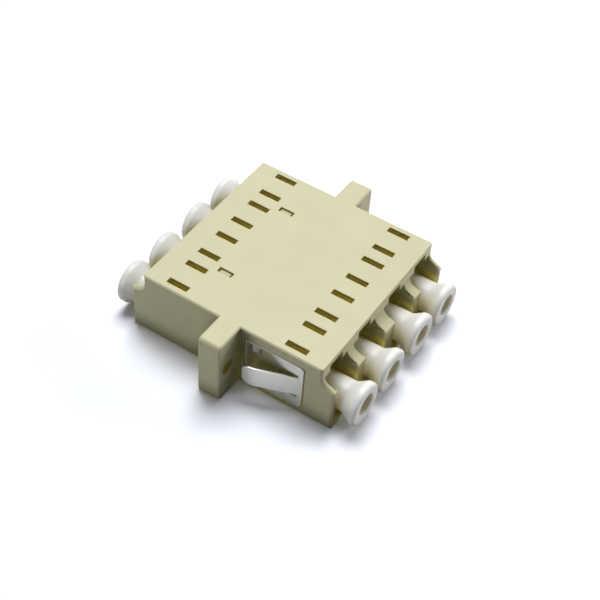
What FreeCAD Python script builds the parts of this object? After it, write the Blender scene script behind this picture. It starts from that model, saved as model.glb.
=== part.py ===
"""Flanged quad LC fibre-optic adapter with spring clips and dust caps.

Millimetres, +Z up. The ports run along Y and the front is -Y. X = 0 is the middle of the
port row, Y = 0 is the plane where the ferrules meet, and Z = 0 is the flat underside.
"""
import FreeCAD, Part
import math
import os

from FreeCAD import Vector

# ---- Ports: the opening that takes one LC plug ----
PORT_WIDTH = 4.60          # side wall to side wall
PORT_HEIGHT = 4.95         # port floor to the ledge beside the latch
AXIS_RISE = 2.35           # ferrule axis above the port floor
TANG_HEIGHT = 1.65         # ledge to the underside of the latch shoulders
KEY_WIDTH = 2.70           # slot between the shoulders, where the latch arm passes
KEY_RISE = 1.00            # key slot above the shoulders' underside
LEAD_IN = 0.16             # how far the walls beside the latch stand back at the mouth
LEAD_LENGTH = 3.50         # length of that set-back part, from the wall's end
MOUTH_CHAMFER = 0.15       # bevel inside the wall ends

# ---- Walls ----
SIDE_WALL = 0.825          # outer port to the outside
PARTITION = 1.65           # between the two ports of a pair
CENTRE_WEB = 2.35          # between the pairs
FLOOR = 1.00               # underside to the port floor
ROOF = 0.70                # key slot to the top

# ---- Along the ports, from the middle outwards ----
STOP_WALL = 1.75           # half of the wall that the plugs stop at
WINDOW_START = 6.92        # middle to the latch window
WINDOW_LENGTH = 2.92
WINDOW_WIDTH = 0.85
WINDOW_INSET = 0.04        # window's outer edge inside the port's side wall
SHOULDER_LENGTH = 2.80     # latch window to the end of the top
END_REACH = 1.76           # how far the walls run past the top
LATCH_RAMP = 3.60          # run of the sloping roof over the latch arm's root

# ---- Stepped wall ends ----
TIP_RISE = 0.25            # tip of the slope above the ledge
TIP_SLOPE = 26.0           # degrees below level
STEP_RADIUS = 1.20         # hollow corner between the top's end and the slope
EDGE_BREAK = 0.18          # bevel along the long outer edges and round the ears
END_BREAK = 0.28           # bevel down the wall ends

# ---- Flange ----
EAR_REACH = 4.15           # each ear beyond the side wall
EAR_THICKNESS = 3.05
EAR_OFFSET = 0.10          # flange's middle plane behind Y = 0
EAR_RADIUS = 0.55          # rounded outer corners of the ears
SCREW_HOLE_DIAMETER = 2.10
SCREW_HOLE_OFFSET = 2.35   # hole axis beyond the side wall

# ---- Ferrule sleeves and the tubes that hold them ----
FERRULE_DIAMETER = 1.25
SLEEVE_WALL = 0.185
SLEEVE_LENGTH = 6.80
SLEEVE_SLIT = 0.30
SLEEVE_FLOAT = 0.065       # radial room round the sleeve
SLEEVE_END_PLAY = 0.10
TUBE_WALL = 0.45
TUBE_LIP = 0.45            # end wall that keeps the sleeve in
LIP_CLEARANCE = 0.075      # radial room for the ferrule in the lip

# ---- Sleeve carriers ----
CARRIER_CLEARANCE = 0.04   # carrier to housing, each side
KEEL_HEIGHT = 2.20         # keel above the latch ledge
SNAP_WIDTH = 0.80          # snap window, across the ports
SNAP_START = 4.03          # middle to the snap window
SNAP_LENGTH = 2.02
SNAP_RECESS = 0.22         # snap tab's top below the top face
SNAP_GAP = 0.18            # tab to window, each side that shows a gap
SNAP_RAMP = 0.60           # bevel on the tab's leading side
ARM_THICKNESS = 0.60       # springy arm under the tab
ARM_SLOT = 0.45            # slot that frees the arm
ARM_ROOT = 2.60            # arm beyond the tab, to its root

# ---- Side pockets and spring clips ----
POCKET_LAND = 0.60         # ear to pocket
POCKET_SILL = 0.80         # underside to pocket
POCKET_HEAD = 1.36         # pocket to the top
POCKET_DEPTH = 0.32
CLIP_THICKNESS = 0.22
CLIP_CLEARANCE = 0.10      # clip to the pocket's end beside the ear
CLIP_PLAY = 0.28           # clip to the pocket's front end and roof
CLIP_BAR = 0.68            # bar that carries the tongue
CLIP_RAIL = 0.25           # thin top, bottom and rear rails
CLIP_CORNER = 0.50
CLIP_ROOT_RAIL = 1.40      # rails beside the tongue's root
CLIP_ROOT_RUN = 2.25       # length of those wide rails
CLIP_RAMP_RUN = 1.50       # length over which they narrow
CLIP_LUG_WIDTH = 1.00
CLIP_LUG_LENGTH = 1.15
CLIP_LUG_SETBACK = 0.80    # lug from the rear rail
TONGUE_SLIT = 0.55         # between tongue and rails
TONGUE_ANGLE = 21.0        # degrees out of the plate
TONGUE_RISE = 1.95         # plate to the tongue's tip
TONGUE_ROOT_BEND = 0.80
TONGUE_TIP_BEND = 3.00
TONGUE_TIP_FLAT = 0.70
TONGUE_CORNER = 0.90
PANEL_GRIP = 1.60          # thickest panel between the flange and the tongue's tip
LIP_NOTCH_WIDTH = 0.50     # notch in the pocket's sill, for lifting the clip out
LIP_NOTCH_SETBACK = 2.05   # notch behind the pocket's front end
LIP_NOTCH_DEPTH = 0.50

# ---- Dust caps ----
CAP_BARREL_DIAMETER = 4.00
CAP_FLANGE_DIAMETER = 5.60
CAP_PROTRUSION = 2.75      # cap's face beyond the wall ends
CAP_RIM_THICKNESS = 1.05
CAP_FLARE = 1.10           # length of the flare behind the rim
CAP_GRIP_BORE_CLEARANCE = 0.04   # radial, on the sleeve tube
CAP_GRIP_LENGTH = 5.20
CAP_FACE_HOLE_DIAMETER = 2.90
CAP_FACE_HOLE_DEPTH = 3.60
CAP_TIP_GAP = 0.45         # cap's inner end to the stop wall

# ---- Worked out from the sizes above ----
PORT_PITCH = PORT_WIDTH + PARTITION
PAIR_X = PORT_WIDTH + (PARTITION + CENTRE_WEB) / 2
PORT_X = [side * PAIR_X + step * PORT_PITCH / 2 for side in (-1, 1) for step in (-1, 1)]
HALF_WIDTH = PAIR_X + PORT_PITCH / 2 + PORT_WIDTH / 2 + SIDE_WALL
LEDGE_Z = FLOOR + PORT_HEIGHT
TANG_Z = LEDGE_Z + TANG_HEIGHT
KEY_Z = TANG_Z + KEY_RISE
TOP_Z = KEY_Z + ROOF
AXIS_Z = FLOOR + AXIS_RISE
KEEL_Z = LEDGE_Z + KEEL_HEIGHT
TIP_Z = LEDGE_Z + TIP_RISE
WINDOW_END = WINDOW_START + WINDOW_LENGTH
TOP_END = WINDOW_END + SHOULDER_LENGTH
WALL_END = TOP_END + END_REACH
EAR_FRONT = EAR_OFFSET - EAR_THICKNESS / 2
EAR_BACK = EAR_OFFSET + EAR_THICKNESS / 2
SLEEVE_RADIUS = FERRULE_DIAMETER / 2 + SLEEVE_WALL
TUBE_BORE = SLEEVE_RADIUS + SLEEVE_FLOAT
TUBE_RADIUS = TUBE_BORE + TUBE_WALL
SLEEVE_SEAT = SLEEVE_LENGTH / 2 + SLEEVE_END_PLAY
TUBE_END = SLEEVE_SEAT + TUBE_LIP
BEYOND = 2.0               # cutters reach this far past the faces they open


def box(x0, x1, y0, y1, z0, z1):
    return Part.makeBox(x1 - x0, y1 - y0, z1 - z0, Vector(x0, y0, z0))


def prism(points, sweep):
    """Closed flat outline, pushed along sweep."""
    return Part.Face(Part.makePolygon(points + points[:1])).extrude(sweep)


def along_x(points_yz, x0, x1):
    return prism([Vector(x0, y, z) for y, z in points_yz], Vector(x1 - x0, 0, 0))


def along_y(points_xz, y0, y1):
    return prism([Vector(x, y0, z) for x, z in points_xz], Vector(0, y1 - y0, 0))


def along_z(points_xy, z0, z1):
    return prism([Vector(x, y, z0) for x, y in points_xy], Vector(0, 0, z1 - z0))


def rod_y(x, z, radius, y0, y1):
    return Part.makeCylinder(radius, y1 - y0, Vector(x, y0, z), Vector(0, 1, 0))


def to_back(shape):
    """The same form at the other end of the ports."""
    return shape.mirror(Vector(0, 0, 0), Vector(0, 1, 0))


def to_right(shape):
    return shape.mirror(Vector(0, 0, 0), Vector(1, 0, 0))


def edges_where(shape, test):
    return [edge for edge in shape.Edges if test(edge.BoundBox)]


def near(a, b):
    return abs(a - b) < 0.001


# ---- Housing ----

def end_relief(x0, x1):
    """What is cut from the front end above the walls: a drop, a hollow corner and a slope."""
    slope = math.radians(TIP_SLOPE)
    tangent = STEP_RADIUS * math.tan((math.pi / 2 - slope) / 2)
    foot_z = TIP_Z + END_REACH * math.tan(slope)
    arc_top = Vector(x0, -TOP_END, foot_z + tangent)
    arc_foot = Vector(x0, -TOP_END - tangent * math.cos(slope), foot_z - tangent * math.sin(slope))
    middle = (math.pi / 2 + slope) / 2
    arc_centre = arc_top + Vector(0, -STEP_RADIUS, 0)
    arc_mid = arc_centre + Vector(0, math.cos(middle - slope), -math.sin(middle - slope)) * STEP_RADIUS
    far_y = -WALL_END - BEYOND
    far = Vector(x0, far_y, TIP_Z - BEYOND * math.tan(slope))
    outer_top = Vector(x0, far_y, TOP_Z + BEYOND)
    inner_top = Vector(x0, -TOP_END, TOP_Z + BEYOND)
    wire = Part.Wire([
        Part.makeLine(inner_top, arc_top),
        Part.Arc(arc_top, arc_mid, arc_foot).toShape(),
        Part.makeLine(arc_foot, far),
        Part.makeLine(far, outer_top),
        Part.makeLine(outer_top, inner_top),
    ])
    return Part.Face(wire).extrude(Vector(x1 - x0, 0, 0))


def housing_block():
    """The outer form without ears: one stepped profile across the whole width."""
    block = box(-HALF_WIDTH, HALF_WIDTH, -WALL_END, WALL_END, 0, TOP_Z)
    relief = end_relief(-HALF_WIDTH - BEYOND, HALF_WIDTH + BEYOND)
    block = block.cut([relief, to_back(relief)]).removeSplitter()
    ends = edges_where(block, lambda b: b.XLength < 0.001 and b.YLength < END_REACH + 0.001)
    block = block.makeChamfer(END_BREAK, ends)
    long = edges_where(block, lambda b: b.XLength < 0.001 and b.YLength > TOP_END)
    return block.makeChamfer(EDGE_BREAK, long)


def ear():
    """Right flange ear, with its rounded corners and screw hole."""
    inner = HALF_WIDTH - SIDE_WALL / 2
    outer = HALF_WIDTH + EAR_REACH
    plate = box(inner, outer, EAR_FRONT, EAR_BACK, 0, TOP_Z)
    corners = edges_where(plate, lambda b: near(b.XMin, outer) and b.YLength > EAR_THICKNESS / 2)
    plate = plate.makeFillet(EAR_RADIUS, corners)
    rims = edges_where(plate, lambda b: b.YLength < 0.001 and b.XMax > inner + 0.001)
    plate = plate.makeChamfer(EDGE_BREAK, rims)
    return plate.cut(rod_y(HALF_WIDTH + SCREW_HOLE_OFFSET, TOP_Z / 2, SCREW_HOLE_DIAMETER / 2,
                           EAR_FRONT - BEYOND, EAR_BACK + BEYOND))


def keyed_outline(x, half_width, upper_half_width):
    """Port outline seen from the front: the plug's square, the latch ledges and the key slot."""
    half_key = KEY_WIDTH / 2
    right = [
        (x + half_width, FLOOR), (x + half_width, TIP_Z), (x + upper_half_width, TIP_Z),
        (x + upper_half_width, TANG_Z), (x + half_key, TANG_Z), (x + half_key, KEY_Z),
    ]
    left = [(2 * x - px, pz) for px, pz in reversed(right)]
    outline = right + left
    return [p for i, p in enumerate(outline) if p != outline[i - 1]]


def port_cutter(x):
    """Everything that one front port removes from the block."""
    half = PORT_WIDTH / 2
    mouth = -WALL_END - BEYOND
    lead_end = -WALL_END + LEAD_LENGTH
    outer = along_y(keyed_outline(x, half, half + LEAD_IN), mouth, lead_end)
    inner = along_y(keyed_outline(x, half, half), lead_end, -WINDOW_START)
    nose = box(x - half, x + half, -WINDOW_START, -STOP_WALL, FLOOR, LEDGE_Z)
    ramp = along_x([(-WINDOW_START, LEDGE_Z), (-WINDOW_START, KEY_Z),
                    (-WINDOW_START + LATCH_RAMP, LEDGE_Z)], x - KEY_WIDTH / 2, x + KEY_WIDTH / 2)
    windows = [latch_window(x, side) for side in (-1, 1)]
    c = MOUTH_CHAMFER
    flare = [(-WALL_END - c, half + 2 * c), (-WALL_END - c, -half - 2 * c),
             (-WALL_END + c, -half), (-WALL_END + c, half)]
    bevel = along_z([(x + dx, y) for y, dx in flare], FLOOR, LEDGE_Z)
    return [outer, inner, nose, ramp, bevel] + windows


def latch_window(x, side):
    """Slot in the top where one latch tang springs up behind its shoulder."""
    outer = x + side * (PORT_WIDTH / 2 - WINDOW_INSET)
    inner = outer - side * WINDOW_WIDTH
    return box(min(inner, outer), max(inner, outer), -WINDOW_END, -WINDOW_START,
               LEDGE_Z, TOP_Z + BEYOND)


def carrier_bay(pair_x):
    """Space behind Y = 0 that takes one sleeve carrier, and its snap window."""
    half = PORT_PITCH / 2 + PORT_WIDTH / 2
    room = box(pair_x - half, pair_x + half, 0, WALL_END + BEYOND, FLOOR, LEDGE_Z)
    keel = box(pair_x - PARTITION / 2, pair_x + PARTITION / 2, 0, WALL_END + BEYOND,
               LEDGE_Z, KEEL_Z)
    half_snap = SNAP_WIDTH / 2
    snap = box(pair_x - half_snap, pair_x + half_snap, SNAP_START, SNAP_START + SNAP_LENGTH,
               KEEL_Z, TOP_Z + BEYOND)
    return [room, keel, snap]


def sleeve_tube(x, y0):
    """Outside of the tube round one sleeve, from the stop wall to the front."""
    return rod_y(x, AXIS_Z, TUBE_RADIUS, -TUBE_END, y0)


def sleeve_bore(x, y0):
    """Room for half of a sleeve and the way in for its ferrule, open at y0."""
    lip = FERRULE_DIAMETER / 2 + LIP_CLEARANCE
    return [
        rod_y(x, AXIS_Z, TUBE_BORE, -SLEEVE_SEAT, y0 + BEYOND),
        rod_y(x, AXIS_Z, lip, -TUBE_END - BEYOND, y0),
    ]


def tongue_reach():
    """How far the tongue runs along the clip, from its root to its tip."""
    angle = math.radians(TONGUE_ANGLE)
    bends = TONGUE_ROOT_BEND + TONGUE_TIP_BEND
    straight = (TONGUE_RISE - bends * (1 - math.cos(angle))) / math.sin(angle)
    return bends * math.sin(angle) + straight * math.cos(angle) + TONGUE_TIP_FLAT


TONGUE_ROOT = EAR_FRONT - PANEL_GRIP - tongue_reach()
CLIP_FRONT = TONGUE_ROOT - CLIP_BAR
POCKET_FRONT = CLIP_FRONT - CLIP_PLAY
POCKET_BACK = EAR_FRONT - POCKET_LAND
POCKET_ROOF = TOP_Z - POCKET_HEAD
CLIP_BACK = POCKET_BACK - CLIP_CLEARANCE
CLIP_LOW = POCKET_SILL
CLIP_HIGH = POCKET_ROOF - CLIP_PLAY
CLIP_MIDDLE = (CLIP_LOW + CLIP_HIGH) / 2


def clip_pocket():
    """Left side pocket and the notch in its sill."""
    floor_x = -HALF_WIDTH + POCKET_DEPTH
    pocket = box(-HALF_WIDTH - BEYOND, floor_x, POCKET_FRONT, POCKET_BACK,
                 POCKET_SILL, POCKET_ROOF)
    notch_y = POCKET_FRONT + LIP_NOTCH_SETBACK
    notch = box(-HALF_WIDTH - BEYOND, floor_x, notch_y, notch_y + LIP_NOTCH_WIDTH,
                POCKET_SILL - LIP_NOTCH_DEPTH, POCKET_SILL + BEYOND / 2)
    return [pocket, notch]


def make_housing():
    body = housing_block().fuse([ear(), to_right(ear())])
    cuts = []
    for x in PORT_X:
        cuts += port_cutter(x)
        cuts += [to_back(shape) for shape in port_cutter(x)]
    for pair in (-PAIR_X, PAIR_X):
        cuts += carrier_bay(pair)
    pocket = clip_pocket()
    cuts += pocket + [to_right(shape) for shape in pocket]
    body = body.cut(cuts)
    body = body.fuse([sleeve_tube(x, 0) for x in PORT_X])
    bores = [shape for x in PORT_X for shape in sleeve_bore(x, 0)]
    return body.cut(bores).removeSplitter()


# ---- Sleeve carriers ----

def snap_tab(pair_x):
    """Tab on the keel's springy arm, bevelled where it leads into the housing."""
    front = SNAP_START + SNAP_GAP / 2
    back = SNAP_START + SNAP_LENGTH - SNAP_GAP
    top = TOP_Z - SNAP_RECESS
    half = SNAP_WIDTH / 2 - SNAP_GAP / 2
    outline = [(front, KEEL_Z - ARM_THICKNESS), (back, KEEL_Z - ARM_THICKNESS), (back, top),
               (front + SNAP_RAMP / 2, top), (front, top - SNAP_RAMP)]
    return along_x(outline, pair_x - half, pair_x + half)


def arm_relief(pair_x):
    """Slot under the arm and the gap past its free end."""
    x0 = pair_x - PARTITION
    x1 = pair_x + PARTITION
    free_end = SNAP_START - ARM_SLOT
    under = KEEL_Z - CARRIER_CLEARANCE - ARM_THICKNESS
    root = SNAP_START + SNAP_LENGTH + ARM_ROOT
    slot = box(x0, x1, free_end, root, under - ARM_SLOT, under)
    gap = box(x0, x1, free_end - ARM_SLOT, free_end, under - ARM_SLOT, KEEL_Z + BEYOND)
    return [slot, gap]


def make_carrier(pair_x):
    """Back halves of two sleeve tubes, joined by a cross wall to the ports' partition."""
    half = PORT_PITCH / 2 + PORT_WIDTH / 2 - CARRIER_CLEARANCE
    blade = PARTITION / 2 - CARRIER_CLEARANCE
    ceiling = LEDGE_Z - CARRIER_CLEARANCE
    wall = box(pair_x - half, pair_x + half, 0, STOP_WALL, FLOOR, ceiling)
    fin = box(pair_x - blade, pair_x + blade, 0, WALL_END, FLOOR, KEEL_Z - CARRIER_CLEARANCE)
    relief = to_back(end_relief(pair_x - half, pair_x + half))
    ports = [pair_x - PORT_PITCH / 2, pair_x + PORT_PITCH / 2]
    body = wall.fuse([fin] + [to_back(sleeve_tube(x, 0)) for x in ports])
    cuts = [relief] + arm_relief(pair_x)
    for x in ports:
        cuts += [to_back(shape) for shape in sleeve_bore(x, 0)]
        cuts += carrier_mouth(x)
    return body.cut(cuts).fuse(snap_tab(pair_x)).removeSplitter()


def carrier_mouth(x):
    """Set-back and bevel that the port's mouth cuts in the carrier's partition."""
    half = PORT_WIDTH / 2
    start = WALL_END - LEAD_LENGTH
    lead = box(x - half - LEAD_IN, x + half + LEAD_IN, start, WALL_END + BEYOND,
               TIP_Z, TANG_Z)
    bevel = to_back(port_cutter(x)[4])
    return [lead, bevel]


# ---- Split sleeves ----

def make_sleeve(x):
    half = SLEEVE_LENGTH / 2
    sleeve = rod_y(x, AXIS_Z, SLEEVE_RADIUS, -half, half)
    bore = rod_y(x, AXIS_Z, FERRULE_DIAMETER / 2, -half - BEYOND, half + BEYOND)
    slit = box(x - SLEEVE_SLIT / 2, x + SLEEVE_SLIT / 2, -half - BEYOND, half + BEYOND,
               AXIS_Z, AXIS_Z + SLEEVE_RADIUS + BEYOND)
    return sleeve.cut([bore, slit])


# ---- Spring clips ----

def clip_plate():
    """Flat frame in the pocket: bar, rails that narrow past the tongue's root, and lugs."""
    x0 = -HALF_WIDTH + POCKET_DEPTH - CLIP_THICKNESS
    x1 = x0 + CLIP_THICKNESS
    plate = box(x0, x1, CLIP_FRONT, CLIP_BACK, CLIP_LOW, CLIP_HIGH)
    corners = edges_where(plate, lambda b: b.XLength > CLIP_THICKNESS / 2)
    plate = plate.makeFillet(CLIP_CORNER, corners)
    top = CLIP_HIGH - CLIP_RAIL
    step = CLIP_HIGH - CLIP_ROOT_RAIL
    knee = TONGUE_ROOT + CLIP_ROOT_RUN
    rear = CLIP_BACK - CLIP_RAIL
    lug_back = rear - CLIP_LUG_SETBACK
    lug_front = lug_back - CLIP_LUG_WIDTH
    lug_tip = top - CLIP_LUG_LENGTH
    upper = [(TONGUE_ROOT, step), (knee, step), (knee + CLIP_RAMP_RUN, top), (lug_front, top),
             (lug_front, lug_tip), (lug_back, lug_tip), (lug_back, top), (rear, top)]
    lower = [(y, 2 * CLIP_MIDDLE - z) for y, z in reversed(upper)]
    window = along_x(upper + lower, x0 - BEYOND, x1 + BEYOND)
    return plate.cut(window)


def tongue_strip():
    """Bent strip seen from above, at the tongue's full height."""
    angle = math.radians(TONGUE_ANGLE)
    bends = TONGUE_ROOT_BEND + TONGUE_TIP_BEND
    straight = (TONGUE_RISE - bends * (1 - math.cos(angle))) / math.sin(angle)
    plate_x = -HALF_WIDTH + POCKET_DEPTH - CLIP_THICKNESS / 2
    start = Vector(plate_x, TONGUE_ROOT, 0)
    root_centre = start + Vector(-TONGUE_ROOT_BEND, 0, 0)
    along = Vector(-math.sin(angle), math.cos(angle), 0)
    across = Vector(math.cos(angle), math.sin(angle), 0)
    bend_end = root_centre + across * TONGUE_ROOT_BEND
    bend_mid = root_centre + Vector(math.cos(angle / 2), math.sin(angle / 2), 0) * TONGUE_ROOT_BEND
    rise_end = bend_end + along * straight
    tip_centre = rise_end + across * TONGUE_TIP_BEND
    tip_mid = tip_centre - Vector(math.cos(angle / 2), math.sin(angle / 2), 0) * TONGUE_TIP_BEND
    tip_start = tip_centre - Vector(TONGUE_TIP_BEND, 0, 0)
    tip_end = tip_start + Vector(0, TONGUE_TIP_FLAT, 0)
    bar_start = start - Vector(0, CLIP_BAR / 2, 0)
    path = [
        Part.makeLine(bar_start, start),
        Part.Arc(start, bend_mid, bend_end).toShape(),
        Part.makeLine(bend_end, rise_end),
        Part.Arc(rise_end, tip_mid, tip_start).toShape(),
        Part.makeLine(tip_start, tip_end),
    ]
    return Part.Wire(path)


def clip_tongue():
    """Tongue struck out of the plate, with rounded corners at its tip."""
    low = CLIP_LOW + CLIP_ROOT_RAIL + TONGUE_SLIT
    high = 2 * CLIP_MIDDLE - low
    spine = tongue_strip()
    half = CLIP_THICKNESS / 2
    outer = offset_path(spine, half)
    inner = offset_path(spine, -half)
    caps = [Part.makeLine(outer.OrderedVertexes[i].Point, inner.OrderedVertexes[i].Point)
            for i in (0, -1)]
    outline = Part.Wire(Part.__sortEdges__(outer.Edges + inner.Edges + caps))
    strip = Part.Face(outline)
    strip.translate(Vector(0, 0, low))
    strip = strip.extrude(Vector(0, 0, high - low))
    tip = TONGUE_ROOT + tongue_reach()
    corners = edges_where(strip, lambda b: near(b.YMin, tip) and b.XLength > CLIP_THICKNESS / 2)
    return strip.makeFillet(TONGUE_CORNER, corners)


def offset_path(wire, distance):
    """The path's lines and arcs, moved sideways in the XY plane."""
    edges = []
    for edge in wire.Edges:
        first, last = edge.valueAt(edge.FirstParameter), edge.valueAt(edge.LastParameter)
        middle = edge.valueAt((edge.FirstParameter + edge.LastParameter) / 2)
        moved = []
        for point, parameter in ((first, edge.FirstParameter),
                                 (middle, (edge.FirstParameter + edge.LastParameter) / 2),
                                 (last, edge.LastParameter)):
            heading = edge.tangentAt(parameter)
            if heading.y < 0:
                heading = heading * -1
            moved.append(point + Vector(heading.y, -heading.x, 0) * distance)
        if isinstance(edge.Curve, Part.Circle):
            edges.append(Part.Arc(*moved).toShape())
        else:
            edges.append(Part.makeLine(moved[0], moved[2]))
    return Part.Wire(edges)


def make_clip():
    """Left clip. The right one is the same part turned over."""
    return clip_plate().fuse(clip_tongue()).removeSplitter()


# ---- Dust caps ----

def make_cap(x):
    """Front cap, turned about the port's axis."""
    barrel = CAP_BARREL_DIAMETER / 2
    flange = CAP_FLANGE_DIAMETER / 2
    face = -WALL_END - CAP_PROTRUSION
    rim = face + CAP_RIM_THICKNESS
    neck = rim + CAP_FLARE
    tip = -STOP_WALL - CAP_TIP_GAP
    grip = TUBE_RADIUS + CAP_GRIP_BORE_CLEARANCE
    hole = CAP_FACE_HOLE_DIAMETER / 2
    outline = [
        (0, tip - CAP_GRIP_LENGTH), (grip, tip - CAP_GRIP_LENGTH), (grip, tip),
        (barrel, tip), (barrel, neck), (flange, rim), (flange, face), (hole, face),
        (hole, face + CAP_FACE_HOLE_DEPTH), (0, face + CAP_FACE_HOLE_DEPTH),
    ]
    corners = [Vector(x + radius, y, AXIS_Z) for radius, y in outline]
    section = Part.Face(Part.makePolygon(corners + corners[:1]))
    return section.revolve(Vector(x, 0, AXIS_Z), Vector(0, 1, 0), 360)


def build():
    pieces = {"housing": make_housing()}
    pieces["sleeve_carrier_left"] = make_carrier(-PAIR_X)
    pieces["sleeve_carrier_right"] = make_carrier(PAIR_X)
    pieces["panel_clip_left"] = make_clip()
    pieces["panel_clip_right"] = to_right(make_clip())
    for number, x in enumerate(PORT_X, start=1):
        pieces[f"alignment_sleeve_{number}"] = make_sleeve(x)
        pieces[f"dust_cap_front_{number}"] = make_cap(x)
        pieces[f"dust_cap_back_{number}"] = to_back(make_cap(x))
    return pieces


def main():
    os.makedirs("parts", exist_ok=True)
    for name, shape in build().items():
        solids = shape.Solids
        print(f"{name}: {len(solids)} solid, {shape.Volume:.2f} mm3, valid {shape.isValid()}")
        solid = solids[0] if len(solids) == 1 else Part.makeCompound(solids)
        solid.exportStep(f"parts/{name}.step")


main()
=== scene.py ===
# %% [markdown]
# # A fibre-optic adapter
# The adapter joins four pairs of fibre plugs. Its body is one beige moulding with four ports at
# each end, two steel spring clips in its sides and a soft white dust cap in every port. The exact
# solids come from the CAD frame, in metres, and nothing here moves or reshapes them. This script
# gives each surface its real finish, makes the dust caps again as turned forms with soft lips, and
# sets up the floor, the lamps and the camera.

import math

import bpy
from mathutils import Matrix, Vector


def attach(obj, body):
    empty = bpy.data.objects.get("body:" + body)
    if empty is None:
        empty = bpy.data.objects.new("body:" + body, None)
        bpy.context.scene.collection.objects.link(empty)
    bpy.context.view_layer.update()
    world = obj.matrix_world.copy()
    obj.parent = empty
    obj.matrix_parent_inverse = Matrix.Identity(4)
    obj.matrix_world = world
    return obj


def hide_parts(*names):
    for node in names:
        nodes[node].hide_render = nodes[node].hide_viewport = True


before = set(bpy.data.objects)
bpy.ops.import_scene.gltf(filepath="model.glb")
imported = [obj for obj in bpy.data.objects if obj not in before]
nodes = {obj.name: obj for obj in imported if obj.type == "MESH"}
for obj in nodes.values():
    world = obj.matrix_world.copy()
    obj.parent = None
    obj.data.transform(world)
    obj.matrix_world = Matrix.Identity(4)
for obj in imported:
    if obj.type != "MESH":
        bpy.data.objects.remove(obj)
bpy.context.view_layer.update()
MM = 0.001  # a millimetre, in the frame's metres

# %% [markdown]
# ## Helpers for node trees
# Every finish below, and the turning of the caps, is a tree of nodes. Such a tree could be drawn
# by hand in the node editor, but in code it can be read, changed and built again. Three helpers
# keep the cells short: one adds a node and fills its inputs, one does a sum, and one makes a group
# with named sockets.


# %% Node helpers
def add(tree, kind, inputs=None, **settings):
    """Adds a node, applies its settings, then fills or links its inputs by name or number."""
    node = tree.nodes.new(kind)
    for key, value in settings.items():
        setattr(node, key, value)
    for key, value in (inputs or {}).items():
        socket = node.inputs[key]
        if isinstance(value, bpy.types.NodeSocket):
            tree.links.new(value, socket)
        else:
            socket.default_value = value
    return node


def sums(tree, operation, *values):
    """One Math node on the values, each a socket or a number. Returns its output."""
    return add(tree, "ShaderNodeMath", dict(enumerate(values)), operation=operation).outputs[0]


def make_group(name, inputs, outputs, tree_type="ShaderNodeTree"):
    """A group with named sockets. inputs and outputs are (name, socket type, default) rows."""
    group = bpy.data.node_groups.new(name, tree_type)
    for row in inputs:
        socket = group.interface.new_socket(row[0], in_out="INPUT", socket_type=row[1])
        if len(row) > 2:
            socket.default_value = row[2]
    for row in outputs:
        group.interface.new_socket(row[0], in_out="OUTPUT", socket_type=row[1])
    return group, group.nodes.new("NodeGroupInput"), group.nodes.new("NodeGroupOutput")


FLOAT, COLOUR, VECTOR = "NodeSocketFloat", "NodeSocketColor", "NodeSocketVector"
print("helpers for node trees:", add.__name__, sums.__name__, make_group.__name__)

# %% [markdown]
# ## Moulded grain
# A mould is spark-eroded, so the plastic copies a fine matt grain from it. The grain could be
# real relief in the mesh, but it is only hundredths of a millimetre deep, so bump in the material
# shows it as well. All the plastics share the effect, each with its own grain size, so it is a
# group. It works in object coordinates scaled to millimetres, so the grain stays put on its piece.


# %% Group: moulded grain
def in_millimetres(tree):
    """The object coordinates, scaled so that a pattern's numbers are per millimetre."""
    place = add(tree, "ShaderNodeTexCoord")
    return add(tree, "ShaderNodeVectorMath", {0: place.outputs["Object"], 1: (1 / MM,) * 3},
               operation="MULTIPLY").outputs[0]


grain, g_in, g_out = make_group("moulded grain", [("Grain per mm", FLOAT, 5.0)],
                                [("Height", FLOAT), ("Mask", FLOAT)])
on_piece = in_millimetres(grain)
fine = add(grain, "ShaderNodeTexNoise",
           {"Vector": on_piece, "Scale": g_in.outputs["Grain per mm"], "Detail": 3.0,
            "Roughness": 0.6})
pits = add(grain, "ShaderNodeTexVoronoi",
           {"Vector": on_piece, "Scale": g_in.outputs["Grain per mm"]}, feature="SMOOTH_F1")
grain_height = sums(grain, "ADD", fine.outputs[0], pits.outputs["Distance"])
grain.links.new(grain_height, g_out.inputs["Height"])
grain.links.new(fine.outputs[0], g_out.inputs["Mask"])
print("group:", grain.name, "of", len(grain.nodes), "nodes")

# %% [markdown]
# ## Cloudy colour
# Plastic is never one flat colour: pigment and flow leave soft clouds a few millimetres wide. An
# image could hold them, but noise has no seams and fits any shape. This group mixes two near
# shades by slow noise, and lets a fine speckle through. The metals use it too.


# %% Group: cloudy colour
def ramp(tree, value, low, high, to_low=0.0, to_high=1.0):
    """Maps the range from low to high onto the range from to_low to to_high."""
    return add(tree, "ShaderNodeMapRange",
               {"Value": value, "From Min": low, "From Max": high, "To Min": to_low,
                "To Max": to_high}).outputs[0]


def mix_colours(tree, share, first, second, blend="MIX"):
    """Mixes two colours, each a socket or a plain value. Returns the mixed colour."""
    FACTOR, A, B, RESULT = 0, 6, 7, 2  # the Mix node's sockets for colours
    return add(tree, "ShaderNodeMix", {FACTOR: share, A: first, B: second},
               data_type="RGBA", blend_type=blend).outputs[RESULT]


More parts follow.
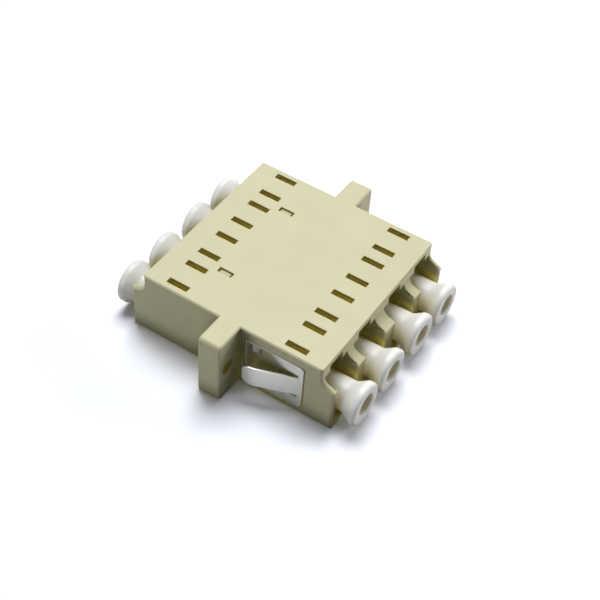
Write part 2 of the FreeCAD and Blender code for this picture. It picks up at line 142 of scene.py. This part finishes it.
cloud, c_in, c_out = make_group(
    "cloudy colour",
    [("Shade", COLOUR, (0.7, 0.7, 0.7, 1)), ("Other shade", COLOUR, (0.6, 0.6, 0.6, 1)),
     ("Clouds per mm", FLOAT, 0.25), ("Specks per mm", FLOAT, 3.0), ("Speckle", FLOAT, 0.2)],
    [("Color", COLOUR)])
on_piece = in_millimetres(cloud)
slow = add(cloud, "ShaderNodeTexNoise",
           {"Vector": on_piece, "Scale": c_in.outputs["Clouds per mm"], "Detail": 4.0})
specks = add(cloud, "ShaderNodeTexNoise",
             {"Vector": on_piece, "Scale": c_in.outputs["Specks per mm"], "Detail": 2.0})
speckle = sums(cloud, "MULTIPLY", specks.outputs[0], c_in.outputs["Speckle"])
cloudiness = ramp(cloud, sums(cloud, "ADD", slow.outputs[0], speckle), 0.35, 0.75)
clouded = mix_colours(cloud, cloudiness, c_in.outputs["Shade"], c_in.outputs["Other shade"])
cloud.links.new(clouded, c_out.inputs["Color"])
print("group:", cloud.name, "of", len(cloud.nodes), "nodes")

# %% [markdown]
# ## Soft edges
# No moulded or stamped edge is a knife edge. The solids carry the larger roundings. The smallest
# could be bevels in the mesh, but a CAD mesh is left alone, so this group rounds them in the
# shading: a Bevel node bends the normal near an edge. Where it does, a mask comes out, and the
# plastics use it to paint a pale highlight along their edges, where light passing through the
# plastic would make them paler.

# %% Group: soft edges
edges, e_in, e_out = make_group(
    "soft edges", [("Radius mm", FLOAT, 0.15), ("Normal", VECTOR)],
    [("Normal", VECTOR), ("Mask", FLOAT)])
radius = sums(edges, "MULTIPLY", e_in.outputs["Radius mm"], MM)
bevel = add(edges, "ShaderNodeBevel",
            {"Radius": radius, "Normal": e_in.outputs["Normal"]}, samples=6)
flat = add(edges, "ShaderNodeNewGeometry")
likeness = add(edges, "ShaderNodeVectorMath",
               {0: bevel.outputs[0], 1: flat.outputs["Normal"]}, operation="DOT_PRODUCT")
# The mask marks where a pale edge highlight is painted.
painted_highlight_mask = ramp(edges, likeness.outputs["Value"], 0.995, 0.80)
edges.links.new(bevel.outputs[0], e_out.inputs["Normal"])
edges.links.new(painted_highlight_mask, e_out.inputs["Mask"])
print("group:", edges.name, "of", len(edges.nodes), "nodes")

# %% [markdown]
# ## Painted recess shade
# Light that comes out of a slot or an inner corner has met coloured plastic many times, so it is
# more yellow than the light from an open face, and an inner corner is darker. More bounces and a
# real depth of plastic would show that, but slowly and with noise. This group takes a short way: it
# paints that shade and that yellow bounce light into the colour by how closed in a point is, first
# a painted half shade and then a deeper painted tint of shade and bounce light. The floor counts as
# a neighbour too, so the foot of a wall gets painted shade as well.

# %% Group: painted recess shade
OPEN_FACE, CORNER, SLOT = 0.87, 0.5, 0.25  # openness, from 1 on a plain to 0 in a hole
recess, r_in, r_out = make_group(
    "painted recess shade",
    [("Color", COLOUR, (0.7, 0.7, 0.7, 1)), ("Painted half shade", COLOUR, (0.5, 0.48, 0.4, 1)),
     ("Painted deep bounce and shade", COLOUR, (0.4, 0.36, 0.15, 1)), ("Reach mm", FLOAT, 4.5)],
    [("Color", COLOUR)])
reach = sums(recess, "MULTIPLY", r_in.outputs["Reach mm"], MM)
openness = add(recess, "ShaderNodeAmbientOcclusion", {"Distance": reach}, samples=8).outputs["AO"]
# Painted shade and bounce light: the tint deepens as a point is more closed in.
painted_shade_colour = mix_colours(recess, ramp(recess, openness, SLOT, CORNER), r_in.outputs["Painted deep bounce and shade"],
                   r_in.outputs["Painted half shade"])
painted_shade_colour = mix_colours(recess, ramp(recess, openness, CORNER, OPEN_FACE), painted_shade_colour, (1, 1, 1, 1))
shade_painted_in = mix_colours(recess, 1.0, r_in.outputs["Color"], painted_shade_colour, "MULTIPLY")
recess.links.new(shade_painted_in, r_out.inputs["Color"])
print("group:", recess.name, "of", len(recess.nodes), "nodes")

# %% [markdown]
# ## Plastics
# The housing and the inner carriers are a stiff beige plastic, and the caps a soft white one. Each
# could be a tree of its own, but they differ only in colour, grain, gloss and depth, so one
# function builds them all. Grain drives the bump and a little of the roughness, clouds drive the
# colour, painted shade darkens and yellows it in recesses, a painted highlight pales it along the
# edges, and soft edges finish the normal. Numbers that are the same all over a surface go straight
# on the shader's own sockets.


# %% How a plastic is built
PAINTED_HIGHLIGHT_GAIN = (1.20, 1.18, 0.88)  # painted edge highlight, as a share of the open face's shade
PAINTED_HIGHLIGHT_SHARE = 0.7                # how far an edge is painted towards that highlight
GRAIN_DEPTH = 0.02 * MM
ROUGH_SPREAD = 0.05


def use(tree, group, inputs):
    """Places a group in a material and fills its inputs."""
    return add(tree, "ShaderNodeGroup", inputs, node_tree=group)


def moulded_plastic(name, shade, other_shade, painted_half_shade, painted_deep_bounce_and_shade, rough, grain_per_mm, bump,
                    edge_mm, depth_mm=0.0):
    """A plastic from the shared groups. With a depth_mm, light also passes below its surface."""
    material = bpy.data.materials.new(name)
    material.use_nodes = True
    tree = material.node_tree
    shader = tree.nodes["Principled BSDF"]
    colour = use(tree, cloud, {"Shade": (*shade, 1), "Other shade": (*other_shade, 1)})
    # Paints shade and yellow bounce light into the recesses.
    with_painted_shade = use(tree, recess, {"Color": colour.outputs["Color"], "Painted half shade": (*painted_half_shade, 1),
                                "Painted deep bounce and shade": (*painted_deep_bounce_and_shade, 1)})
    texture = use(tree, grain, {"Grain per mm": grain_per_mm})
    relief = add(tree, "ShaderNodeBump",
                 {"Height": texture.outputs["Height"], "Strength": bump, "Distance": GRAIN_DEPTH})
    soft = use(tree, edges, {"Radius mm": edge_mm, "Normal": relief.outputs["Normal"]})
    gloss = ramp(tree, texture.outputs["Mask"], 0.3, 0.7, rough - ROUGH_SPREAD,
                 rough + ROUGH_SPREAD)
    # Painted highlight: the edge mask pales the colour along each edge.
    painted_edge_highlight = [min(1.0, c * gain) for c, gain in zip(shade, PAINTED_HIGHLIGHT_GAIN)]
    highlight_painted = mix_colours(tree, sums(tree, "MULTIPLY", soft.outputs["Mask"], PAINTED_HIGHLIGHT_SHARE),
                         with_painted_shade.outputs["Color"], (*painted_edge_highlight, 1))
    tree.links.new(highlight_painted, shader.inputs["Base Color"])
    tree.links.new(gloss, shader.inputs["Roughness"])
    tree.links.new(soft.outputs["Normal"], shader.inputs["Normal"])
    shader.inputs["IOR"].default_value = 1.5
    if depth_mm:
        shader.inputs["Subsurface Weight"].default_value = 0.5
        shader.inputs["Subsurface Radius"].default_value = (1.0, 0.95, 0.85)
        shader.inputs["Subsurface Scale"].default_value = depth_mm * MM
    return material


print("a plastic uses:", cloud.name, recess.name, grain.name, edges.name)

# %% The three plastics
# The half and deep values are painted shade and painted bounce light for recesses.
housing_plastic = moulded_plastic(
    "beige moulded plastic", shade=(0.67, 0.635, 0.41), other_shade=(0.632, 0.598, 0.382),
    painted_half_shade=(0.31, 0.30, 0.26), painted_deep_bounce_and_shade=(1.22, 1.13, 0.46), rough=0.46, grain_per_mm=6.0,
    bump=0.35, edge_mm=0.20)
carrier_plastic = moulded_plastic(
    "inner beige plastic", shade=(0.665, 0.629, 0.41), other_shade=(0.627, 0.591, 0.382),
    painted_half_shade=(0.42, 0.41, 0.31), painted_deep_bounce_and_shade=(1.22, 1.13, 0.46), rough=0.50, grain_per_mm=6.0,
    bump=0.30, edge_mm=0.14)
cap_plastic = moulded_plastic(
    "soft white plastic", shade=(0.95, 0.945, 0.915), other_shade=(0.92, 0.912, 0.875),
    painted_half_shade=(0.96, 0.93, 0.82), painted_deep_bounce_and_shade=(0.90, 0.84, 0.66), rough=0.36, grain_per_mm=3.0,
    bump=0.20, edge_mm=0.12, depth_mm=1.2)
print("plastics:", housing_plastic.name, carrier_plastic.name, cap_plastic.name)

# %% [markdown]
# ## Metals
# The clip is stamped from rolled stainless strip: fine lines run along the strip, and its gloss is
# satin. The sleeves are rolled from phosphor bronze and polished. Anisotropic shading could stretch
# their highlights, but stretched noise also shows the lines themselves. So both are one kind of
# finish with different numbers: noise that is long along Y drives roughness and a faint bump.


# %% How a metal is built
LINES_SCALE = (1000, 60, 1000)  # per metre: fine across the strip, long along Y
LINES_DEPTH = 0.01 * MM
METAL_ROUGH_SPREAD = 0.07


def rolled_metal(name, colour, rough, lines_per_mm):
    """A metal with fine rolling lines along Y."""
    material = bpy.data.materials.new(name)
    material.use_nodes = True
    tree = material.node_tree
    shader = tree.nodes["Principled BSDF"]
    place = add(tree, "ShaderNodeTexCoord")
    stretch = add(tree, "ShaderNodeMapping",
                  {"Vector": place.outputs["Object"], "Scale": LINES_SCALE})
    lines = add(tree, "ShaderNodeTexNoise",
                {"Vector": stretch.outputs[0], "Scale": lines_per_mm, "Detail": 3.0}).outputs[0]
    gloss = ramp(tree, lines, 0.3, 0.7, rough - METAL_ROUGH_SPREAD, rough + METAL_ROUGH_SPREAD)
    relief = add(tree, "ShaderNodeBump",
                 {"Height": lines, "Strength": 0.2, "Distance": LINES_DEPTH})
    soft = use(tree, edges, {"Radius mm": 0.05, "Normal": relief.outputs["Normal"]})
    tint = use(tree, cloud, {"Shade": (*colour, 1),
                             "Other shade": (*[c * 0.9 for c in colour], 1)})
    tree.links.new(tint.outputs["Color"], shader.inputs["Base Color"])
    tree.links.new(gloss, shader.inputs["Roughness"])
    tree.links.new(soft.outputs["Normal"], shader.inputs["Normal"])
    shader.inputs["Metallic"].default_value = 1.0
    return material


print("a metal uses:", cloud.name, edges.name)

# %% The two metals
clip_steel = rolled_metal("rolled stainless steel", (0.66, 0.66, 0.655), 0.34, 7.0)
sleeve_bronze = rolled_metal("polished phosphor bronze", (0.78, 0.52, 0.30), 0.22, 9.0)
print("metals:", clip_steel.name, sleeve_bronze.name)

# %% [markdown]
# ## Dress the fixed solids
# The housing, carriers, clips and sleeves are rigid and exact. To model them again would only make
# the same shapes, so each keeps its CAD mesh, and just its material changes.


# %% Give the CAD nodes their finishes
def finish(name, material):
    """Puts one material on a CAD node."""
    slots = nodes[name].data.materials
    slots.clear()
    slots.append(material)
    print(name, "is", material.name)


finish("housing", housing_plastic)
for side in ("left", "right"):
    finish("sleeve_carrier_" + side, carrier_plastic)
    finish("panel_clip_" + side, clip_steel)
for number in (1, 2, 3, 4):
    finish("alignment_sleeve_%d" % number, sleeve_bronze)

# %% [markdown]
# ## Turned dust caps
# The caps are soft moulded plugs. The frame's solids give their sizes, but a soft cap has no sharp
# line: its barrel flows into the flare, and its rim and the rim of its hole are rounded. A bevel on
# the solid could round them, but not flow the flare, so each cap is made again as a turned form.
# One path holds the section, from the bottom of the bore that grips the sleeve tube, round the
# outside, to the bottom of the face hole. Each of its corners becomes an arc. A guard point on
# either side of an arc keeps the straight stretches flat under smooth shading.

# %% The section of a cap
CAP_SECTION = [  # radius, distance from the ports' middle plane, rounding (millimetres)
    (0.0, 7.40, 0.0), (1.365, 7.40, 0.15), (1.365, 2.20, 0.12), (2.0, 2.20, 0.22),
    (2.0, 14.95, 1.25), (2.80, 16.28, 0.45), (2.80, 17.15, 0.33), (1.45, 17.15, 0.20),
    (1.45, 13.55, 0.50), (0.0, 13.55, 0.0),
]


def rounded_path(corners, steps=7, guard=0.04):
    """The path through the corners, each an arc with a guard point either side, in metres."""
    points = [Vector(corner[:2]) for corner in corners]
    path = [points[0]]
    for before, here, after, corner in zip(points, points[1:], points[2:], corners[1:]):
        rounding = corner[2]
        to_before, to_after = (before - here).normalized(), (after - here).normalized()
        half = to_before.angle(to_after) / 2
        centre = here + (to_before + to_after).normalized() * rounding / math.sin(half)
        start = here + to_before * rounding / math.tan(half)
        end = here + to_after * rounding / math.tan(half)
        arc = [centre + ((start - centre).lerp(end - centre, i / steps)).normalized() * rounding
               for i in range(steps + 1)]
        path += [start + to_before * guard] + arc + [end + to_after * guard]
    return [point * MM for point in path + [points[-1]]]


section = rounded_path(CAP_SECTION)
section_mesh = bpy.data.meshes.new("cap section")
section_mesh.from_pydata([(point.x, point.y, 0) for point in section],
                         [(i, i + 1) for i in range(len(section) - 1)], [])
print("points in a cap's section:", len(section))

# %% [markdown]
# The turning itself is a rule, so it is a node tree, which serves all eight caps. A grid has one
# row for each step round the axis and one column for each point of the section. Each grid point
# looks up its section point and moves to its place on the circle. The seam and the two poles then
# close by merging, and a cap that points the other way has its faces flipped outwards.

# %% Group: turned about a port's axis
PORT_X = (-9.725, -3.475, 3.475, 9.725)  # the ports' axes, in millimetres
PORT_Z = 3.35
turning, t_in, t_out = make_group(
    "turned about a port",
    [("Section", "NodeSocketGeometry"), ("Port x", FLOAT, 0.0), ("Port z", FLOAT, PORT_Z * MM),
     ("Outward", FLOAT, -1.0), ("Steps round", "NodeSocketInt", 72),
     ("Material", "NodeSocketMaterial")],
    [("Geometry", "NodeSocketGeometry")], "GeometryNodeTree")
columns = add(turning, "GeometryNodeAttributeDomainSize",
              {"Geometry": t_in.outputs["Section"]}).outputs["Point Count"]
steps_round = t_in.outputs["Steps round"]
sheet = add(turning, "GeometryNodeMeshGrid",
            {"Vertices X": sums(turning, "ADD", steps_round, 1.0), "Vertices Y": columns})
index = add(turning, "GeometryNodeInputIndex").outputs[0]
column = sums(turning, "MODULO", index, columns)
row = sums(turning, "FLOOR", sums(turning, "DIVIDE", index, columns))
angle = sums(turning, "MULTIPLY", sums(turning, "DIVIDE", row, steps_round), 2 * math.pi)

# %% Each grid point goes to its place
position = add(turning, "GeometryNodeInputPosition")
looked_up = add(turning, "GeometryNodeSampleIndex",
                {"Geometry": t_in.outputs["Section"], "Value": position.outputs[0],
                 "Index": column}, data_type="FLOAT_VECTOR")
split = add(turning, "ShaderNodeSeparateXYZ", {0: looked_up.outputs[0]})
from_axis, along_axis = split.outputs["X"], split.outputs["Y"]
spot = add(turning, "ShaderNodeCombineXYZ", {
    "X": sums(turning, "MULTIPLY_ADD", from_axis, sums(turning, "COSINE", angle),
              t_in.outputs["Port x"]),
    "Y": sums(turning, "MULTIPLY", along_axis, t_in.outputs["Outward"]),
    "Z": sums(turning, "MULTIPLY_ADD", from_axis, sums(turning, "SINE", angle),
              t_in.outputs["Port z"])})
turned = add(turning, "GeometryNodeSetPosition",
             {"Geometry": sheet.outputs["Mesh"], "Position": spot.outputs[0]})
closed = add(turning, "GeometryNodeMergeByDistance",
             {"Geometry": turned.outputs[0], "Distance": 0.0005 * MM})
outside = add(turning, "GeometryNodeFlipFaces",
              {"Mesh": closed.outputs[0], "Selection": t_in.outputs["Outward"]})
smooth = add(turning, "GeometryNodeSetShadeSmooth", {"Geometry": outside.outputs[0]})
plain = add(turning, "GeometryNodeRealizeInstances", {"Geometry": smooth.outputs[0]})
painted = add(turning, "GeometryNodeSetMaterial",
              {"Geometry": plain.outputs[0], "Material": t_in.outputs["Material"]})
turning.links.new(painted.outputs[0], t_out.inputs["Geometry"])
print("group:", turning.name, "of", len(turning.nodes), "nodes")

# %% [markdown]
# ## One cap for each port
# A cap could stay a live modifier, but the export wants plain meshes. So the group runs on a
# helper object, the result is copied out as a plain mesh, and the helper goes. Each cap then rides
# on its own body and takes the place of the CAD cap.


# %% Turn the eight caps
def by_nodes(name, base, group, inputs):
    """A plain object made from base by a node group, with the group's inputs set by name."""
    maker = bpy.data.objects.new(name + " maker", base)
    bpy.context.scene.collection.objects.link(maker)
    modifier = maker.modifiers.new("nodes", "NODES")
    modifier.node_group = group
    for item in group.interface.items_tree:
        if item.in_out == "INPUT" and item.name in inputs:
            modifier[item.identifier] = inputs[item.name]
    evaluated = maker.evaluated_get(bpy.context.evaluated_depsgraph_get())
    mesh = bpy.data.meshes.new_from_object(evaluated)
    mesh.name = name
    bpy.data.objects.remove(maker)
    thing = bpy.data.objects.new(name, mesh)
    bpy.context.scene.collection.objects.link(thing)
    return thing


for number, port_x in enumerate(PORT_X, start=1):
    for end, outward in (("front", -1.0), ("back", 1.0)):
        cap = by_nodes("turned_cap_%s_%d" % (end, number), section_mesh, turning,
                       {"Port x": port_x * MM, "Outward": outward, "Material": cap_plastic})
        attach(cap, "%s_cap_%d" % (end, number))
        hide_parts("dust_cap_%s_%d" % (end, number))
        print(cap.name, "has", len(cap.data.vertices), "points and", len(cap.data.polygons),
              "faces")

# %% [markdown]
# ## Floor
# The adapter lies on a pale sweep. A curved sheet of card would be the studio's way, but a level
# floor keeps a true shadow at any angle. Camera and mirror rays see it as white, while the light
# that it throws back on the adapter stays low, so the sides keep their shade. Farther off, where
# no shadow reaches, the floor fades into the white of the background, so no horizon shows.


# %% Lay the floor
HALF_FLOOR, FLOOR_Z = 3.0, -0.02 * MM  # metres; just clear of the adapter's underside
floor_mesh = bpy.data.meshes.new("floor")
floor_mesh.from_pydata([(-HALF_FLOOR, -HALF_FLOOR, FLOOR_Z), (HALF_FLOOR, -HALF_FLOOR, FLOOR_Z),
                        (HALF_FLOOR, HALF_FLOOR, FLOOR_Z), (-HALF_FLOOR, HALF_FLOOR, FLOOR_Z)],
                       [], [(0, 1, 2, 3)])
floor = bpy.data.objects.new("floor", floor_mesh)
bpy.context.scene.collection.objects.link(floor)
print("floor:", 2 * HALF_FLOOR, "m wide")


# %% Paint the floor
FADE_START, FADE_END = 0.05, 0.11  # metres from the middle of the adapter
GREY, BRIGHT, PURE = (0.30, 0.30, 0.31, 1), (1.20, 1.23, 1.34, 1), (1, 1, 1, 1)


def kinds_of_ray(tree):
    """Two masks: rays from the camera, and mirrored rays or rays through glass."""
    path = add(tree, "ShaderNodeLightPath")
    mirrored = sums(tree, "MAXIMUM", path.outputs["Is Glossy Ray"],
                    path.outputs["Is Transmission Ray"])
    return path.outputs["Is Camera Ray"], mirrored


floor_paint = bpy.data.materials.new("pale floor")
floor_paint.use_nodes = True
tree = floor_paint.node_tree
tree.nodes.clear()
direct, mirrored = kinds_of_ray(tree)
floor_tint = mix_colours(tree, direct, mix_colours(tree, mirrored, GREY, PURE), BRIGHT)
matt = add(tree, "ShaderNodeBsdfDiffuse", {"Color": floor_tint})
place = add(tree, "ShaderNodeTexCoord")
away = add(tree, "ShaderNodeVectorMath", {0: place.outputs["Object"]}, operation="LENGTH")
far_off = ramp(tree, away.outputs["Value"], FADE_START, FADE_END)
faded = sums(tree, "MULTIPLY", far_off, sums(tree, "MAXIMUM", direct, mirrored))
backdrop = add(tree, "ShaderNodeEmission", {"Color": PURE, "Strength": 1.0})
sweep = add(tree, "ShaderNodeMixShader",
            {0: faded, 1: matt.outputs[0], 2: backdrop.outputs[0]})
add(tree, "ShaderNodeOutputMaterial", {"Surface": sweep.outputs[0]})
floor_mesh.materials.append(floor_paint)
print("paint:", floor_paint.name, "fades to white", FADE_END, "m from the adapter")

# %% [markdown]
# ## World
# The world is the room's own light. An image of a studio could light the adapter, but a plain dim
# sky is even from all sides, so it fills the shade gently. Camera, mirror and glass rays see plain
# white instead, so metal shows the white surroundings that it would show in a studio.

# %% World
world = bpy.data.worlds.new("studio")
bpy.context.scene.world = world
world.use_nodes = True
tree = world.node_tree
tree.nodes.clear()
direct, mirrored = kinds_of_ray(tree)
dim = add(tree, "ShaderNodeBackground", {"Color": (0.88, 0.94, 1.05, 1), "Strength": 0.06})
bright = add(tree, "ShaderNodeBackground", {"Color": PURE, "Strength": 1.0})
either = add(tree, "ShaderNodeMixShader",
             {0: sums(tree, "MAXIMUM", direct, mirrored), 1: dim.outputs[0],
              2: bright.outputs[0]})
add(tree, "ShaderNodeOutputWorld", {"Surface": either.outputs[0]})
print("world:", world.name)

# %% [markdown]
# ## Lamps
# One large soft lamp above and beyond the adapter does most of the work, so the top is bright, the
# near side is in shade and the shadow falls towards the viewer's left. Two weaker lamps open the
# port end and the clip side. Sun lamps would be simpler, but their shadows are hard. The lamp at
# the front stands low, where the top would mirror it from behind, so it is left out of the gloss.


# %% Lamps
def soft_lamp(name, where, size, power, mirrored=True):
    """A square area lamp at where (metres) that faces the adapter, mirrored in gloss or not."""
    data = bpy.data.lights.new(name, "AREA")
    data.size = size
    data.energy = power
    lamp = bpy.data.objects.new(name, data)
    bpy.context.scene.collection.objects.link(lamp)
    lamp.location = where
    lamp.visible_glossy = mirrored
    aim = Vector((0, 0, 4 * MM)) - lamp.location
    lamp.rotation_euler = aim.to_track_quat("-Z", "Y").to_euler()
    print("lamp:", name, power, "W from", round(aim.length, 2), "m")


soft_lamp("key", (0.12, 0.09, 0.42), size=0.26, power=1.72)
soft_lamp("front right", (0.30, -0.28, 0.15), size=0.20, power=0.80, mirrored=False)
soft_lamp("left fill", (-0.36, 0.16, 0.05), size=0.14, power=0.31)

# %% [markdown]
# ## Camera
# A three-quarter view from above shows the top, the clip and the ports at once. The camera could be
# placed by eye, but angles can be read and changed: azimuth, elevation, roll and distance place
# it, and a slide along its own axes frames the adapter.

# %% Camera
azimuth, elevation, roll = (math.radians(v) for v in (-60.686, 46.641, 4.999))
DISTANCE, SLIDE_RIGHT, SLIDE_UP = 0.16476, 0.0016208, 0.0013527  # metres
back = Vector((math.sin(azimuth) * math.cos(elevation), -math.cos(azimuth) * math.cos(elevation),
               math.sin(elevation)))
level = (-back).cross(Vector((0, 0, 1))).normalized()
upright = level.cross(-back)
right = math.cos(roll) * level + math.sin(roll) * upright
up = -math.sin(roll) * level + math.cos(roll) * upright
eye = back * DISTANCE + right * SLIDE_RIGHT + up * SLIDE_UP
camera_data = bpy.data.cameras.new("camera")
camera_data.sensor_width = 36.0
camera_data.lens = 78.26
camera_data.clip_start = 0.005
camera = bpy.data.objects.new("camera", camera_data)
bpy.context.scene.collection.objects.link(camera)
camera.matrix_world = Matrix(((right.x, up.x, back.x, eye.x), (right.y, up.y, back.y, eye.y),
                              (right.z, up.z, back.z, eye.z), (0, 0, 0, 1)))
bpy.context.scene.camera = camera
bpy.context.scene.view_settings.view_transform = "Standard"
print("camera at mm:", [round(v / MM, 1) for v in eye])
